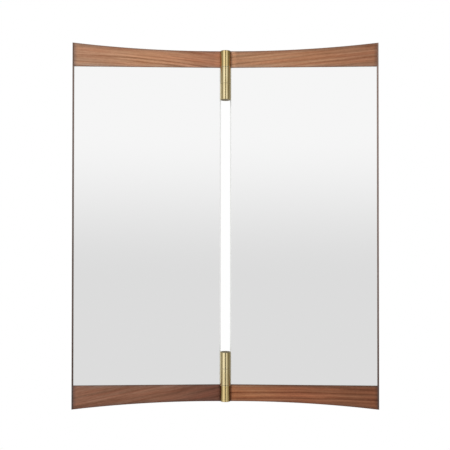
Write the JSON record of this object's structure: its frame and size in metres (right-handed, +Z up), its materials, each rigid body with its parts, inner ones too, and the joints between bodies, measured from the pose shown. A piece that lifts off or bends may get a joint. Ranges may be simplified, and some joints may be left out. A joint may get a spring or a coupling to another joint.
{
  "type": "folding wall mirror",
  "caption": "Wall mirror of tall hinged leaves in slim walnut rails with hollow-curved edges; the leaves swing like shutters on brass barrel hinges held by hidden wall plates.",
  "frame": {"origin": "centre of the upper wall plate's rear face, on the wall", "axes": "+Z up along the hinge axis, -Y out of the wall towards the viewer, +X to the viewer's right"},
  "size_m": [0.5864, 0.0408, 0.7],
  "materials": {
    "walnut_top": "oiled walnut, fine horizontal grain",
    "walnut_bottom": "oiled walnut, darker, fine horizontal grain",
    "walnut_lip": "oiled walnut, upright grain",
    "walnut_stile": "oiled walnut, upright grain",
    "plywood_back": "sanded and sealed birch plywood",
    "mirror_glass": "silvered float glass with a polished inner edge",
    "foam_tape": "white foam mounting tape",
    "beech_dowel": "plain beech",
    "barrel_brass": "finely brushed, lacquered brass",
    "bracket_brass": "brushed, lacquered brass",
    "hinge_pin_steel": "turned steel with a brass-toned finish",
    "steel_screws": "zinc-plated steel",
    "bumper_rubber": "matt black rubber"
  },
  "bodies": {
    "wall_brackets": {"upper_wall_plate": "bracket_brass", "upper_bracket_arm": "barrel_brass", "upper_arm_screws": "steel_screws", "upper_hinge_pin": "hinge_pin_steel", "upper_pin_screw": "hinge_pin_steel", "upper_thrust_washers": "steel_screws", "lower_wall_plate": "bracket_brass", "lower_bracket_arm": "barrel_brass", "lower_arm_screws": "steel_screws", "lower_hinge_pin": "hinge_pin_steel", "lower_pin_screw": "hinge_pin_steel", "lower_thrust_washers": "steel_screws"},
    "left_leaf": {"left_top_rail": "walnut_top", "left_bottom_rail": "walnut_bottom", "left_outer_lip": "walnut_lip", "left_inner_stile": "walnut_stile", "left_back_panel": "plywood_back", "left_mirror_pane": "mirror_glass", "left_pane_tape": "foam_tape", "left_dowels": "beech_dowel", "left_upper_knuckle": "barrel_brass", "left_lower_knuckle": "barrel_brass", "left_upper_flag_screws": "steel_screws", "left_lower_flag_screws": "steel_screws", "left_wall_bumpers": "bumper_rubber"},
    "right_leaf": {"right_top_rail": "walnut_top", "right_bottom_rail": "walnut_bottom", "right_outer_lip": "walnut_lip", "right_inner_stile": "walnut_stile", "right_back_panel": "plywood_back", "right_mirror_pane": "mirror_glass", "right_pane_tape": "foam_tape", "right_dowels": "beech_dowel", "right_upper_knuckle": "barrel_brass", "right_lower_knuckle": "barrel_brass", "right_upper_flag_screws": "steel_screws", "right_lower_flag_screws": "steel_screws", "right_wall_bumpers": "bumper_rubber"}
  },
  "joints": [
    {"name": "left_leaf_swing", "type": "hinge", "parent": "wall_brackets", "child": "left_leaf", "pos_m": [0, -0.03053, -0.28784], "axis": [0, 0, 1], "range_deg": [-2.5, 87.5]},
    {"name": "right_leaf_swing", "type": "hinge", "parent": "wall_brackets", "child": "right_leaf", "pos_m": [0, -0.03053, -0.28784], "axis": [0, 0, -1], "range_deg": [-2.5, 87.5]}
  ]
}
